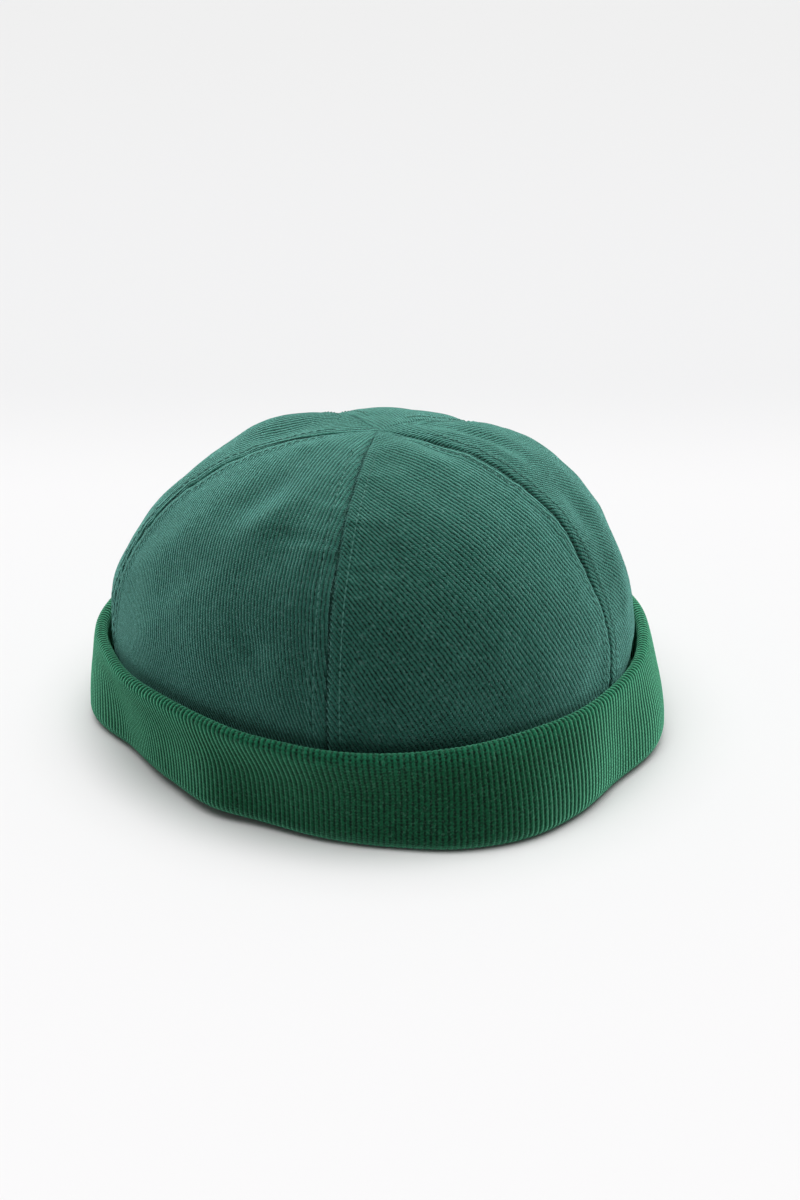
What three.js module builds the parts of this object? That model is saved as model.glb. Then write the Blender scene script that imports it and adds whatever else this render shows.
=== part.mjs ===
// Docker cap: a crown of five sewn twill panels over a turned-up rib-knit cuff.
// Millimetres, +Z up. The front seam faces -Y, and azimuths count from it towards +X.
import * as THREE from 'three';

// Crown
const crownHalfWidth = 94;        // from the middle to the side, where the crown is widest
const crownHeight = 111;          // from the surface up to the apex
const crownWidestHeight = 37;     // level of the widest place, just inside the cuff's top
const crownWall = 1.6;            // brushed cotton twill
const crownRoundness = 2.25;      // how square the shoulders are from above, 2 for an ellipse
const crownTopRoundness = 2.07;   // the same for the rise to the top
const apexShiftX = 1.4;           // the apex sits a little off the middle
const apexShiftY = -1.1;
const tuckIn = 1.8;               // how far the crown draws in below its widest place
const panelPuff = 2.4;            // how far a panel stands out between its seams
const foldWidth = 10;             // half-width of a usual soft fold or dent
const foldDepth = 2;              // depth of a usual one

// Seams of the crown
const seamGap = 0.3;              // between two panels, and between the crown and the cuff
const seamAllowance = 5;          // doubled cloth beside each seam
const allowanceRise = 0.5;        // how far the doubled cloth stands proud
const allowanceFade = 1.3;        // where that rise has died away, in allowances from the seam
const doubledShare = 0.4;         // how much thicker the wall is there
const grooveDepth = 0.7;          // how far the seam line itself sinks
const grooveWidth = 1.4;
const narrowPanel = 20;           // width of a panel below which its seams' relief shrinks
const apexOpening = 0.55;         // radius at which the panels' tips end

// Cuff
const cuffHeight = 36.5;          // from the surface to the top of the roll
const ribThickness = 3.2;         // doubled rib knit, one leg of the cuff
const rollThickness = 4.4;        // the fold at the top, a little fatter
const footRadius = 5.5;           // round turn at the bottom of the cuff
const restWidth = 3;              // flat ring that the turn is pressed to where it rests
const crownToCuffGap = 4;         // usual gap between the crown and the cuff's roll
const cuffFlare = 8;              // how far the foot spreads where it spreads most
const cuffLift = 2.5;             // how far the foot stands off the surface where it lifts most
const joinHeight = 28;            // level at which the crown is sewn to the cuff's inner leg

// Mesh steps
const domeRows = 22;
const tuckRows = 2;
const panelMiddleColumns = 9;
const grooveShare = 0.09;         // most of a panel's width that a seam's first two columns take
const allowanceShare = 0.18;
const foldSteps = 6;
const cuffColumns = 72;
const legSteps = 3;
const rollSteps = 4;
const footSteps = 3;

// Seams, by azimuth at the cuff and at the apex
const seams = [
  { atCuff: 0, atApex: -2 },
  { atCuff: 71, atApex: 79 },
  { atCuff: 144, atApex: 146 },
  { atCuff: 216, atApex: 214 },
  { atCuff: 287, atApex: 283 },
];

// Panels, each from the seam of its own row to the next: puff is a share of panelPuff, and
// shoulder is the share that it gains high up
const panels = [
  { name: 'crown_panel_front_right', puff: 0.8, shoulder: 0.1 },
  { name: 'crown_panel_right', puff: 0.7, shoulder: 0.3 },
  { name: 'crown_panel_back', puff: 0.3, shoulder: 0 },
  { name: 'crown_panel_left', puff: 0.4, shoulder: 0 },
  { name: 'crown_panel_front_left', puff: 0.8, shoulder: 0 },
];

// Outline of the crown seen from above: reach is a share of crownHalfWidth
const crownPlan = [
  { azimuth: 0, reach: 0.95 },
  { azimuth: 30, reach: 0.96 },
  { azimuth: 60, reach: 0.965 },
  { azimuth: 90, reach: 0.965 },
  { azimuth: 120, reach: 0.97 },
  { azimuth: 150, reach: 0.97 },
  { azimuth: 180, reach: 0.965 },
  { azimuth: 210, reach: 0.965 },
  { azimuth: 240, reach: 0.985 },
  { azimuth: 270, reach: 1 },
  { azimuth: 300, reach: 0.955 },
  { azimuth: 330, reach: 0.92 },
];

// Way of the cuff round the crown: gap is a share of crownToCuffGap at the roll, spread a share
// of cuffFlare at the foot, and lift a share of cuffLift
const cuffWay = [
  { azimuth: 12, gap: 0.75, spread: -0.1, lift: 0 },
  { azimuth: 27, gap: 0.5, spread: 0.6, lift: 0 },
  { azimuth: 40, gap: 0.3, spread: 0.85, lift: 0 },
  { azimuth: 52, gap: 0.2, spread: 0.6, lift: 0 },
  { azimuth: 68, gap: 0.2, spread: 0.2, lift: 0 },
  { azimuth: 86, gap: 0.3, spread: 0.8, lift: 0 },
  { azimuth: 104, gap: 0.5, spread: 0.7, lift: 0 },
  { azimuth: 130, gap: 0.6, spread: 0.3, lift: 0 },
  { azimuth: 160, gap: 0.5, spread: 0.4, lift: 0 },
  { azimuth: 190, gap: 0.5, spread: 0.4, lift: 0 },
  { azimuth: 220, gap: 0.5, spread: 0.4, lift: 0 },
  { azimuth: 250, gap: 0.5, spread: 0.3, lift: 0 },
  { azimuth: 279, gap: 0.4, spread: 0.45, lift: 0 },
  { azimuth: 297, gap: 0.4, spread: -0.65, lift: 0.5 },
  { azimuth: 317, gap: 0.7, spread: -0.5, lift: 1 },
  { azimuth: 332, gap: 0.8, spread: -0.1, lift: 1 },
  { azimuth: 344, gap: 0.9, spread: -0.5, lift: 0.6 },
  { azimuth: 354, gap: 0.6, spread: -0.5, lift: 0.3 },
];

// Soft folds of the crown, each from one place to another: rise runs from 0 at the widest place to
// 1 at the apex, width is a share of foldWidth, and depth one of foldDepth, below zero for a dent
const folds = [
  { fromAzimuth: 322, fromRise: 0.74, toAzimuth: 320, toRise: 0.55, width: 0.8, depth: -1 },
  { fromAzimuth: 342, fromRise: 0.58, toAzimuth: 343, toRise: 0.52, width: 0.7, depth: -0.5 },
  { fromAzimuth: 314, fromRise: 0.36, toAzimuth: 307, toRise: 0.26, width: 0.8, depth: -0.8 },
  { fromAzimuth: 343, fromRise: 0.25, toAzimuth: 339, toRise: 0.19, width: 0.8, depth: -0.7 },
  { fromAzimuth: 336, fromRise: 0.66, toAzimuth: 327, toRise: 0.49, width: 0.6, depth: 0.5 },
  { fromAzimuth: 350, fromRise: 0.56, toAzimuth: 351, toRise: 0.44, width: 0.5, depth: 0.4 },
  { fromAzimuth: 302, fromRise: 0.79, toAzimuth: 312, toRise: 0.9, width: 0.6, depth: 0.5 },
  { fromAzimuth: 28, fromRise: 0.95, toAzimuth: 53, toRise: 0.77, width: 0.6, depth: 0.6 },
  { fromAzimuth: 74, fromRise: 0.93, toAzimuth: 59, toRise: 0.76, width: 0.5, depth: -0.4 },
  { fromAzimuth: 112, fromRise: 0.9, toAzimuth: 93, toRise: 0.69, width: 0.7, depth: 0.7 },
  { fromAzimuth: 118, fromRise: 0.88, toAzimuth: 96, toRise: 0.66, width: 0.5, depth: -1.3 },
  { fromAzimuth: 93, fromRise: 0.57, toAzimuth: 84, toRise: 0.33, width: 0.7, depth: -1 },
  { fromAzimuth: 88, fromRise: 0.35, toAzimuth: 85, toRise: 0.09, width: 0.7, depth: 0.7 },
  { fromAzimuth: 74, fromRise: 0.43, toAzimuth: 74, toRise: 0.11, width: 0.5, depth: -0.6 },
  { fromAzimuth: 252, fromRise: 0.88, toAzimuth: 272, toRise: 0.72, width: 0.8, depth: -1.2 },
  { fromAzimuth: 238, fromRise: 0.85, toAzimuth: 252, toRise: 0.63, width: 1.1, depth: 1 },
  { fromAzimuth: 262, fromRise: 0.3, toAzimuth: 236, toRise: 0.68, width: 2.4, depth: -1 },
  { fromAzimuth: 272, fromRise: 0.26, toAzimuth: 259, toRise: 0.56, width: 1.3, depth: -1.1 },
  { fromAzimuth: 107, fromRise: 0.36, toAzimuth: 100, toRise: 0.14, width: 1.2, depth: -1 },
  { fromAzimuth: 128, fromRise: 0.62, toAzimuth: 117, toRise: 0.5, width: 1, depth: 0.5 },
  { fromAzimuth: 140, fromRise: 0.66, toAzimuth: 216, toRise: 0.66, width: 2.2, depth: -1 },
  { fromAzimuth: 147, fromRise: 0.88, toAzimuth: 145, toRise: 0.52, width: 0.8, depth: -1 },
  { fromAzimuth: 212, fromRise: 0.88, toAzimuth: 214, toRise: 0.58, width: 0.8, depth: -0.9 },
  { fromAzimuth: 128, fromRise: 0.36, toAzimuth: 134, toRise: 0.2, width: 0.9, depth: -0.6 },
  { fromAzimuth: 166, fromRise: 0.52, toAzimuth: 176, toRise: 0.3, width: 1, depth: -0.6 },
  { fromAzimuth: 196, fromRise: 0.66, toAzimuth: 190, toRise: 0.44, width: 0.9, depth: 0.4 },
  { fromAzimuth: 236, fromRise: 0.42, toAzimuth: 246, toRise: 0.25, width: 0.9, depth: -0.7 },
];

const degree = Math.PI / 180;
const quarterTurn = Math.PI / 2;
const quarterDegrees = 90;
const normalStep = 0.5;           // degrees, small step for the surface's direction
const foldEndShare = 0.4;         // how much of a fold's depth is left at its ends
const rollStart = 0.6;            // how far up the outer leg the cuff starts to thicken
const topRowEasing = 1.2;         // draws the rows of a panel together towards the apex
const swellEasing = 0.5;          // how soon a panel's puff builds up above the cuff
const pillowPower = 2.2;          // how flat a panel's puff is across
const shoulderRise = 0.6;         // place of the shoulder on the way up, and its half-width
const shoulderWidth = 0.22;
const bellyShare = 0.45;          // how far up the cuff's outer leg keeps upright

// Smooth value of a table's column at an azimuth, going round
function around(table, column, azimuth) {
  const rowAt = (index) => {
    const turns = Math.floor(index / table.length);
    const row = table[index - turns * table.length];
    return { azimuth: row.azimuth + 360 * turns, value: row[column] };
  };
  const angle = azimuth - 360 * Math.floor((azimuth - table[0].azimuth) / 360);
  let index = 0;
  while (rowAt(index + 1).azimuth <= angle) {
    index += 1;
  }
  const [before, start, end, after] = [index - 1, index, index + 1, index + 2].map(rowAt);
  const span = end.azimuth - start.azimuth;
  const share = (angle - start.azimuth) / span;
  const change = end.value - start.value;
  const slope = span * (end.value - before.value) / (end.azimuth - before.azimuth);
  const nextSlope = span * (after.value - start.value) / (after.azimuth - start.azimuth);
  const cubic = slope + nextSlope - 2 * change;
  const square = 3 * change - 2 * slope - nextSlope;
  return start.value + share * (slope + share * (square + share * cubic));
}

function crownReach(azimuth) {
  return crownHalfWidth * around(crownPlan, 'reach', azimuth);
}

// Point at a radius and a level, in the direction of an azimuth
function polar(radius, azimuth, level) {
  return new THREE.Vector3(
    radius * Math.sin(azimuth * degree),
    -radius * Math.cos(azimuth * degree),
    level,
  );
}

// Point of the crown without its puffs: rise runs from 0 at the widest place to 1 at the apex, and
// below the widest place down to -1 at the join
function plainPoint(azimuth, rise) {
  if (rise < 0) {
    const level = crownWidestHeight + (crownWidestHeight - joinHeight) * rise;
    return polar(crownReach(azimuth) - tuckIn * rise * rise, azimuth, level);
  }
  const turn = (1 - rise) * quarterTurn;
  const out = Math.sin(turn) ** (2 / crownRoundness);
  const up = Math.cos(turn) ** (2 / crownTopRoundness);
  const level = crownWidestHeight + (crownHeight - crownWidestHeight) * up;
  const shift = new THREE.Vector3(apexShiftX * (1 - out), apexShiftY * (1 - out), 0);
  return polar(crownReach(azimuth) * out, azimuth, level).add(shift);
}

// Direction straight out of the crown
function plainNormal(azimuth, rise) {
  const along = plainPoint(azimuth + normalStep, rise).sub(plainPoint(azimuth - normalStep, rise));
  const lower = plainPoint(azimuth, rise - normalStep / quarterDegrees);
  const up = plainPoint(azimuth, rise).sub(lower);
  return along.cross(up).normalize();
}

// Each fold's way over the crown, as a line of short steps
const foldWays = folds.map((fold) => {
  const points = [];
  for (let step = 0; step <= foldSteps; step += 1) {
    const azimuth = THREE.MathUtils.lerp(fold.fromAzimuth, fold.toAzimuth, step / foldSteps);
    const rise = THREE.MathUtils.lerp(fold.fromRise, fold.toRise, step / foldSteps);
    points.push(plainPoint(azimuth, rise));
  }
  return { ...fold, points };
});

// How far the folds lift the cloth at a point of the plain crown
function foldHeight(point) {
  const line = new THREE.Line3();
  const nearest = new THREE.Vector3();
  let height = 0;
  for (const fold of foldWays) {
    let distance = Infinity;
    let way = 0;
    for (let step = 1; step < fold.points.length; step += 1) {
      line.set(fold.points[step - 1], fold.points[step]);
      const share = line.closestPointToPointParameter(point, true);
      const away = line.at(share, nearest).distanceTo(point);
      if (away < distance) {
        distance = away;
        way = (step - 1 + share) / (fold.points.length - 1);
      }
    }
    const fade = THREE.MathUtils.lerp(foldEndShare, 1, Math.sin(Math.PI * way));
    const across = distance / (foldWidth * fold.width);
    height += foldDepth * fold.depth * fade * Math.exp(-across * across);
  }
  return height;
}

function seamAzimuth(index, rise) {
  const turns = Math.floor(index / seams.length);
  const seam = seams[index - turns * seams.length];
  const share = Math.max(rise, 0);
  return THREE.MathUtils.lerp(seam.atCuff, seam.atApex, share) + 360 * turns;
}

// Places across a panel: a few close to each seam, the rest evenly between them, as distances from
// the first seam
function acrossPanel(width) {
  const margin = (distance, share) => Math.min(distance, share * width);
  const edge = [seamGap / 2, margin(grooveWidth, grooveShare), margin(seamAllowance, allowanceShare)];
  const last = edge.length - 1;
  const places = [...edge];
  for (let column = 1; column <= panelMiddleColumns; column += 1) {
    places.push(THREE.MathUtils.lerp(edge[last], width - edge[last], column / panelMiddleColumns));
  }
  return [...places, width - edge[1], width - edge[0]];
}

// One panel of the crown, with its doubled cloth at the seams
function crownPanel(panel, index) {
  const topRise = 1 - Math.asin((apexOpening / crownHalfWidth) ** (crownRoundness / 2)) / quarterTurn;
  const rises = [];
  for (let row = tuckRows; row > 0; row -= 1) {
    rises.push(-row / tuckRows);
  }
  for (let row = 0; row <= domeRows; row += 1) {
    rises.push(topRise * (1 - (1 - row / domeRows) ** topRowEasing));
  }
  const outer = [];
  const inner = [];
  for (const rise of rises) {
    const start = seamAzimuth(index, rise);
    const end = seamAzimuth(index + 1, rise);
    const radius = plainPoint((start + end) / 2, rise).setZ(0).length();
    const width = (end - start) * degree * radius;
    const swell = Math.sin(Math.PI * Math.max(rise, 0)) ** swellEasing;
    const shoulder = panel.shoulder * Math.exp(-(((rise - shoulderRise) / shoulderWidth) ** 2));
    const outerRow = [];
    const innerRow = [];
    for (const place of acrossPanel(width)) {
      const azimuth = THREE.MathUtils.lerp(start, end, place / width);
      const point = plainPoint(azimuth, rise);
      const normal = plainNormal(azimuth, rise);
      const pillow = 1 - Math.abs(2 * place / width - 1) ** pillowPower;
      const seamDistance = Math.min(place, width - place);
      const fullness = Math.min(1, width / narrowPanel);
      const faded = -allowanceFade * seamAllowance;
      const doubled = THREE.MathUtils.smoothstep(-seamDistance, faded, -seamAllowance);
      const wall = crownWall * (1 + doubledShare * doubled);
      const groove = Math.exp(-((seamDistance / grooveWidth) ** 2));
      const height = panelPuff * (panel.puff + shoulder) * swell * pillow
        + fullness * (allowanceRise * doubled - grooveDepth * groove)
        + foldHeight(point);
      outerRow.push(point.clone().addScaledVector(normal, height));
      innerRow.push(point.clone().addScaledVector(normal, height - wall));
    }
    outer.push(outerRow);
    inner.push(innerRow);
  }
  for (const point of inner[0]) {
    point.z = joinHeight;
  }
  return closedSheet(outer, inner);
}

// Closed solid between an outer and an inner sheet of points, both with the same rows and columns
function closedSheet(outer, inner) {
  const rows = outer.length;
  const columns = outer[0].length;
  const positions = [...outer, ...inner].flat().flatMap((point) => point.toArray());
  const out = (row, column) => row * columns + column;
  const back = (row, column) => (rows + row) * columns + column;
  const quads = [];
  for (let row = 0; row < rows - 1; row += 1) {
    for (let column = 0; column < columns - 1; column += 1) {
      const [low, high, left, right] = [row, row + 1, column, column + 1];
      quads.push([out(low, left), out(low, right), out(high, right), out(high, left)]);
      quads.push([back(low, right), back(low, left), back(high, left), back(high, right)]);
    }
    const last = columns - 1;
    quads.push([out(row, 0), out(row + 1, 0), back(row + 1, 0), back(row, 0)]);
    quads.push([out(row + 1, last), out(row, last), back(row, last), back(row + 1, last)]);
  }
  for (let column = 0; column < columns - 1; column += 1) {
    const last = rows - 1;
    quads.push([out(0, column + 1), out(0, column), back(0, column), back(0, column + 1)]);
    quads.push([out(last, column), out(last, column + 1), back(last, column + 1), back(last, column)]);
  }
  return solid(positions, quads);
}

function solid(positions, quads) {
  const geometry = new THREE.BufferGeometry();
  geometry.setAttribute('position', new THREE.Float32BufferAttribute(positions, 3));
  geometry.setIndex(quads.flatMap(([a, b, c, d]) => [a, b, c, a, c, d]));
  geometry.computeVertexNormals();
  return geometry;
}

// Section of the cuff at an azimuth, as radius and level pairs going round it: up the outer leg,
// over the roll, down into the fold, up the inner leg and back down round the foot
function cuffSection(azimuth) {
  const reach = crownReach(azimuth);
  const lift = cuffLift * Math.max(0, around(cuffWay, 'lift', azimuth));
  const gap = crownToCuffGap * around(cuffWay, 'gap', azimuth);
  const footSink = footRadius - Math.sqrt(footRadius ** 2 - (restWidth / 2) ** 2);
  const half = ribThickness / 2;
  const foot = new THREE.Vector2(
    reach + cuffFlare * around(cuffWay, 'spread', azimuth),
    footRadius - footSink + lift,
  );
  const turn = footRadius - half;
  const outerStart = new THREE.Vector2(foot.x + turn, foot.y);
  const roll = new THREE.Vector2(
    reach + gap + rollThickness / 2,
    cuffHeight - rollThickness / 2 + lift,
  );
  const belly = new THREE.Vector2(outerStart.x, THREE.MathUtils.lerp(foot.y, roll.y, bellyShare));
  const outerLeg = new THREE.QuadraticBezierCurve(outerStart, belly, roll);
  const innerStart = new THREE.Vector2(foot.x - turn, foot.y);
  const join = new THREE.Vector2(reach - tuckIn - half, joinHeight - seamGap);
  const innerBelly = new THREE.Vector2(innerStart.x, THREE.MathUtils.lerp(foot.y, join.y, bellyShare));
  const innerLeg = new THREE.QuadraticBezierCurve(innerStart, innerBelly, join);
  const points = [];
  const side = (curve, share, distance) => {
    const direction = curve.getTangent(share);
    const at = curve.getPoint(share);
    return new THREE.Vector2(at.x + direction.y * distance, at.y - direction.x * distance);
  };
  const legHalf = (share) => THREE.MathUtils.lerp(
    half,
    rollThickness / 2,
    THREE.MathUtils.smoothstep(share, rollStart, 1),
  );
  for (let step = 0; step <= legSteps; step += 1) {
    const share = step / legSteps;
    points.push(side(outerLeg, share, legHalf(share)));
  }
  const end = outerLeg.getTangent(1).angle();
  for (let step = 1; step < rollSteps; step += 1) {
    const angle = end - quarterTurn + Math.PI * step / rollSteps;
    const arm = new THREE.Vector2(Math.cos(angle), Math.sin(angle));
    points.push(roll.clone().addScaledVector(arm, rollThickness / 2));
  }
  for (let step = legSteps; step >= 0; step -= 1) {
    const share = step / legSteps;
    points.push(side(outerLeg, share, -legHalf(share)));
  }
  for (let step = 1; step < footSteps; step += 1) {
    const angle = -Math.PI * step / footSteps;
    const arm = new THREE.Vector2(Math.cos(angle), Math.sin(angle));
    points.push(foot.clone().addScaledVector(arm, footRadius - ribThickness));
  }
  for (let step = 0; step < legSteps; step += 1) {
    points.push(side(innerLeg, step / legSteps, half));
  }
  points.push(new THREE.Vector2(join.x + half, join.y));
  points.push(new THREE.Vector2(join.x - half, join.y));
  for (let step = legSteps - 1; step >= 0; step -= 1) {
    points.push(side(innerLeg, step / legSteps, -half));
  }
  const restAngle = Math.asin(restWidth / 2 / footRadius);
  for (const [from, to, steps] of [
    [-Math.PI, -quarterTurn - restAngle, footSteps],
    [-quarterTurn + restAngle, 0, footSteps],
  ]) {
    const first = from === -Math.PI ? 1 : 0;
    const stop = to === 0 ? steps - 1 : steps;
    for (let step = first; step <= stop; step += 1) {
      const angle = THREE.MathUtils.lerp(from, to, step / steps);
      const arm = new THREE.Vector2(Math.cos(angle), Math.sin(angle));
      points.push(foot.clone().addScaledVector(arm, footRadius));
    }
  }
  return points;
}

// The cuff: its section carried once round the crown
function ribCuff() {
  const positions = [];
  const quads = [];
  const sectionPoints = cuffSection(0).length;
  for (let column = 0; column < cuffColumns; column += 1) {
    const azimuth = 360 * column / cuffColumns;
    const next = (column + 1) % cuffColumns;
    cuffSection(azimuth).forEach((point, place) => {
      positions.push(...polar(point.x, azimuth, point.y).toArray());
      const following = (place + 1) % sectionPoints;
      quads.push([
        column * sectionPoints + place,
        next * sectionPoints + place,
        next * sectionPoints + following,
        column * sectionPoints + following,
      ]);
    });
  }
  return solid(positions, quads);
}

const brushedTwill = new THREE.MeshStandardMaterial({ color: 0x2d5b4f, roughness: 0.95, metalness: 0 });
const ribKnit = new THREE.MeshStandardMaterial({ color: 0x164c30, roughness: 0.92, metalness: 0 });

function named(name, geometry, material) {
  const mesh = new THREE.Mesh(geometry, material);
  mesh.name = name;
  return mesh;
}

const crown = new THREE.Group();
panels.forEach((panel, index) => {
  crown.add(named(panel.name, crownPanel(panel, index), brushedTwill));
});

const cap = new THREE.Group();
cap.add(crown);
cap.add(named('rib_cuff', ribCuff(), ribKnit));

// The origin is the middle of the cap's box, on the surface
const middle = new THREE.Box3().setFromObject(cap).getCenter(new THREE.Vector3());
cap.position.set(-middle.x, -middle.y, 0);

export default cap;
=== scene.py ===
import math
import bpy
import numpy as np
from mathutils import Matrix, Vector


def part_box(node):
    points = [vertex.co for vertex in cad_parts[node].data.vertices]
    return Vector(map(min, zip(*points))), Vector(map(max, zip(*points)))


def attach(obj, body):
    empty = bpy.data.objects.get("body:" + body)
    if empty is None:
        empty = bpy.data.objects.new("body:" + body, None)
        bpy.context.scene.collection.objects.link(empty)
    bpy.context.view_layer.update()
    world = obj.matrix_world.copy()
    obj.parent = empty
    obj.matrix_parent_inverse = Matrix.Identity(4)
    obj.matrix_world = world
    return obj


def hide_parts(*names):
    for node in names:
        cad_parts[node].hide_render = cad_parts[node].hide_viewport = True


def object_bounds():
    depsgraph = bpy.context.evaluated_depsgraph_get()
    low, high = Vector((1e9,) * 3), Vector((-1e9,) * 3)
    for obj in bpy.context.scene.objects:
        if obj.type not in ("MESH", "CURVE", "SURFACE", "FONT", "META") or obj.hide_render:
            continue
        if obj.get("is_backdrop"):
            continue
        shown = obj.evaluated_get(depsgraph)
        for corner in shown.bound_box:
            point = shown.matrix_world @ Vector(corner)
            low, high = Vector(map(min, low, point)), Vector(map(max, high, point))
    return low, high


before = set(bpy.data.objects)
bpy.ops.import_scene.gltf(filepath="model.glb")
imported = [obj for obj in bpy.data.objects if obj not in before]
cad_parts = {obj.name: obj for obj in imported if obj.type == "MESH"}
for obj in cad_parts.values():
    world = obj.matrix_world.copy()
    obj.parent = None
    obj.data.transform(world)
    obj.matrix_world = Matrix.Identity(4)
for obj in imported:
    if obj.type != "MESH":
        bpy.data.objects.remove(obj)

cadLow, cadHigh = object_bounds()
mm = 0.001
fullTurn = 360.0

# Shape of the cap. Azimuths are degrees from the front seam, counted towards +X, and rise runs
# from 0 where the crown is widest to 1 at the apex.

crownShape = {
    "halfWidth": 94 * mm,
    "height": 111 * mm,
    "widestHeight": 37 * mm,
    "roundness": 2.25,
    "topRoundness": 2.07,
    "apexShift": (1.4 * mm, -1.1 * mm),
    "tuckIn": 1.8 * mm,
    "joinHeight": 28 * mm,
    "cloth": 1.6 * mm,
    "puff": 2.4 * mm,
    "swellEasing": 0.5,
    "pillowPower": 2.2,
    "shoulderRise": 0.6,
    "shoulderWidth": 0.22,
    "foldWidth": 10 * mm,
    "foldDepth": 2.0 * mm,
    "foldPoints": 9,
    "foldEndShare": 0.4,       # how much of a fold's depth is left at its ends
    "ripples": ((0.42 * mm, 38 * mm, 5), (0.16 * mm, 14 * mm, 8)),  # height, length and seed
    "rows": 120,
    "tuckRows": 6,
    "middleColumns": 74,
}

seamShape = {
    "allowance": 5 * mm,       # doubled cloth beside the seam
    "allowanceRise": 0.4 * mm,
    "groove": 0.8 * mm,        # depth of the seam line
    "grooveWidth": 0.8 * mm,
    "stitchLine": 4.3 * mm,    # topstitching, from the seam
    "stitchSink": 0.22 * mm,
    "stitchSinkWidth": 0.7 * mm,
    "pucker": 0.16 * mm,       # small waves that the stitching draws up
    "puckerLength": 7.5 * mm,
    "puckerReach": 11 * mm,
    "puckerDrift": 40,         # how fast the waves change pace up the seam
    "edgeSteps": (0, 0.12, 0.3, 0.55, 0.85, 1.2, 1.7, 2.3, 3.0, 3.6, 4.0, 4.3, 4.6, 5.0, 5.5, 6.2, 7.0),
    "narrowAt": 24 * mm,       # width of a panel below which the seam's details shrink
}

# each seam's azimuth at the cuff and at the apex
seams = [
    {"name": "Front", "atCuff": 0, "atApex": -2},
    {"name": "RightFront", "atCuff": 71, "atApex": 79},
    {"name": "RightBack", "atCuff": 144, "atApex": 146},
    {"name": "LeftBack", "atCuff": 216, "atApex": 214},
    {"name": "LeftFront", "atCuff": 287, "atApex": 283},
]

# grain is how far a panel's cloth is turned from the usual way, tight how close its lines are
panels = [
    {"name": "crownPanelFrontRight", "node": "crown_panel_front_right", "puff": 0.8, "shoulder": 0.1,
     "grain": 0, "tight": 1.0},
    {"name": "crownPanelRight", "node": "crown_panel_right", "puff": 0.7, "shoulder": 0.3,
     "grain": 0, "tight": 1.0},
    {"name": "crownPanelBack", "node": "crown_panel_back", "puff": 0.3, "shoulder": 0.0,
     "grain": 3, "tight": 1.0},
    {"name": "crownPanelLeft", "node": "crown_panel_left", "puff": 0.4, "shoulder": 0.0,
     "grain": -3, "tight": 0.95},
    {"name": "crownPanelFrontLeft", "node": "crown_panel_front_left", "puff": 0.8, "shoulder": 0.0,
     "grain": -11, "tight": 1.22},
]

# azimuth, reach as a share of the crown's half-width
crownPlan = [
    (0, 0.95), (30, 0.96), (60, 0.965), (90, 0.965), (120, 0.97), (150, 0.97),
    (180, 0.965), (210, 0.965), (240, 0.985), (270, 1.0), (300, 0.955), (330, 0.92),
]

# from azimuth and rise, to azimuth and rise, width and depth as shares of the usual fold
folds = [
    (322, 0.74, 320, 0.55, 0.8, -1),
    (342, 0.58, 343, 0.52, 0.7, -0.5),
    (314, 0.36, 307, 0.26, 0.8, -0.8),
    (343, 0.25, 339, 0.19, 0.8, -0.7),
    (336, 0.66, 327, 0.49, 0.6, 0.5),
    (350, 0.56, 351, 0.44, 0.5, 0.4),
    (302, 0.79, 312, 0.9, 0.6, 0.5),
    (28, 0.95, 53, 0.77, 0.6, 0.6),
    (74, 0.93, 59, 0.76, 0.5, -0.4),
    (112, 0.9, 93, 0.69, 0.7, 0.7),
    (118, 0.88, 96, 0.66, 0.5, -1.3),
    (93, 0.57, 84, 0.33, 0.7, -1),
    (88, 0.35, 85, 0.09, 0.7, 0.7),
    (74, 0.43, 74, 0.11, 0.5, -0.6),
    (252, 0.88, 272, 0.72, 0.8, -1.2),
    (238, 0.85, 252, 0.63, 1.1, 1),
    (262, 0.3, 236, 0.68, 2.4, -1),
    (272, 0.26, 259, 0.56, 1.3, -1.1),
    (107, 0.36, 100, 0.14, 1.2, -1),
    (128, 0.62, 117, 0.5, 1, 0.5),
    (140, 0.66, 216, 0.66, 2.2, -1),
    (147, 0.88, 145, 0.52, 0.8, -1),
    (212, 0.88, 214, 0.58, 0.8, -0.9),
    (128, 0.36, 134, 0.2, 0.9, -0.6),
    (166, 0.52, 176, 0.3, 1, -0.6),
    (196, 0.66, 190, 0.44, 0.9, 0.4),
    (236, 0.42, 246, 0.25, 0.9, -0.7),
]

cuffShape = {
    "height": 36.5 * mm,
    "rib": 3.2 * mm,           # doubled knit, one leg
    "roll": 4.4 * mm,
    "footRadius": 5.5 * mm,
    "restWidth": 3 * mm,
    "crownGap": 4 * mm,
    "flare": 8 * mm,
    "lift": 2.5 * mm,
    "seamGap": 0.3 * mm,
    "bellyShare": 0.45,
    "ribs": 324,
    "ribSamples": 6,
    "ribDepth": 0.22 * mm,
    "legRows": 16,             # rows up the outer leg, and over the roll
    "rollRows": 6,
    "waves": ((0.35 * mm, 7, 1.3), (0.25 * mm, 13, 40)),  # broad waves, then small ones up the cuff
    "lean": 1.9,               # degrees by which the ribs lean where the roll was turned down
    "leanAt": -22,
    "leanWidth": 38,
    "leanLevels": (20 * mm, 37 * mm),
}

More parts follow.
